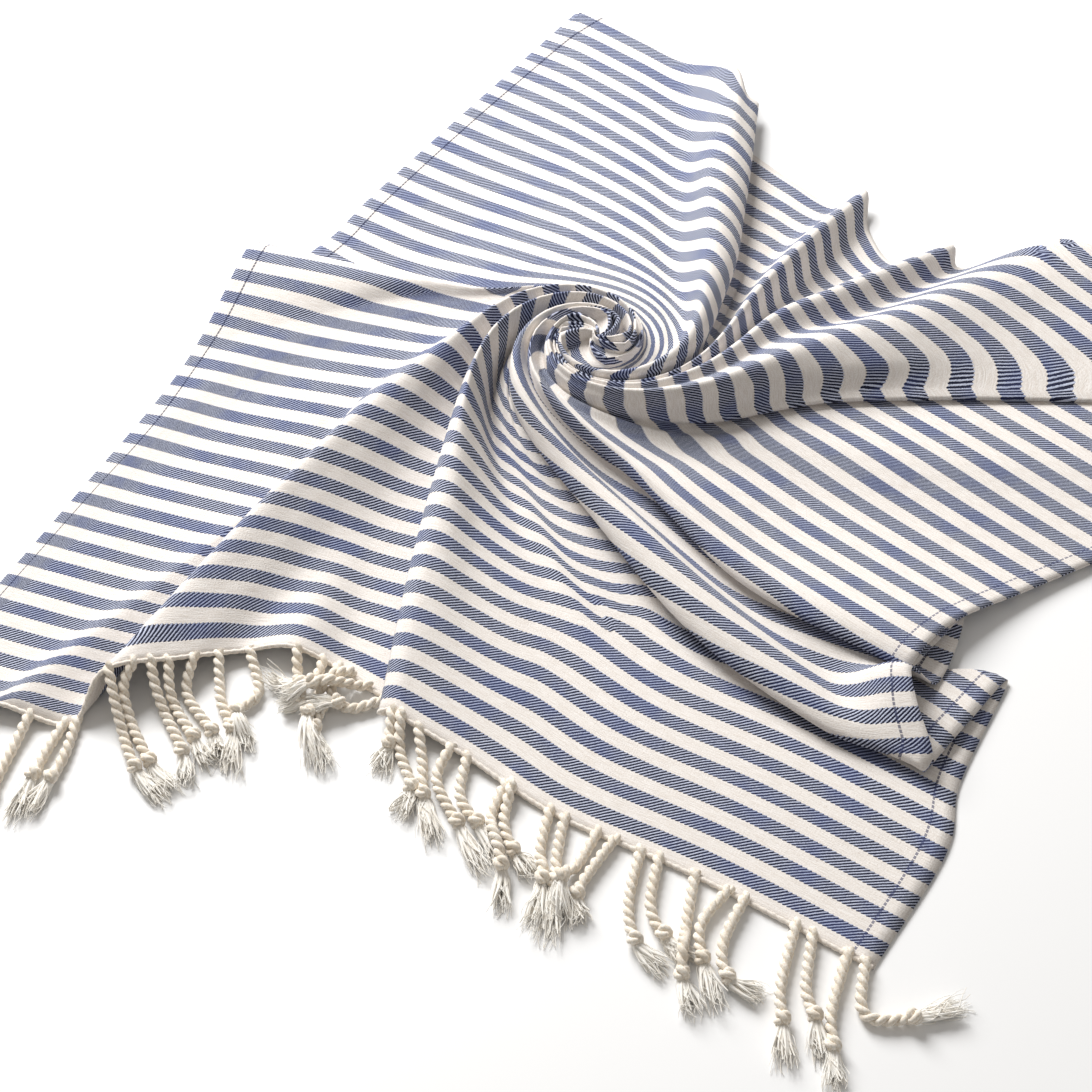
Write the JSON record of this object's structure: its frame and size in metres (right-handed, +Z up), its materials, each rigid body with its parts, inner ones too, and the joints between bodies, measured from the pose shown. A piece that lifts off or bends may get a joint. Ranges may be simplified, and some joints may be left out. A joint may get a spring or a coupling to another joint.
{
  "type": "beach towel",
  "caption": "Flat-woven striped beach towel laid down, twisted into a swirl with radiating folds, with a knotted cord fringe along one end.",
  "frame": {"origin": "on the surface the towel lies on, under the middle of the swirl", "axes": "+X along the stripes to the right, +Y from the fringed end to the back, +Z up"},
  "size_m": [0.7655, 0.9364, 0.044],
  "materials": {
    "towel_cloth": "matt flat-woven cotton, cream with blue twill stripes",
    "fringe_right": "matt twisted cotton cord, natural cream",
    "fringe_middle": "matt twisted cotton cord, natural cream",
    "fringe_left": "matt twisted cotton cord, natural cream"
  },
  "bodies": {
    "root": {"towel_cloth": "towel_cloth", "fringe_right": "fringe_right", "fringe_middle": "fringe_middle", "fringe_left": "fringe_left"}
  },
  "joints": []
}
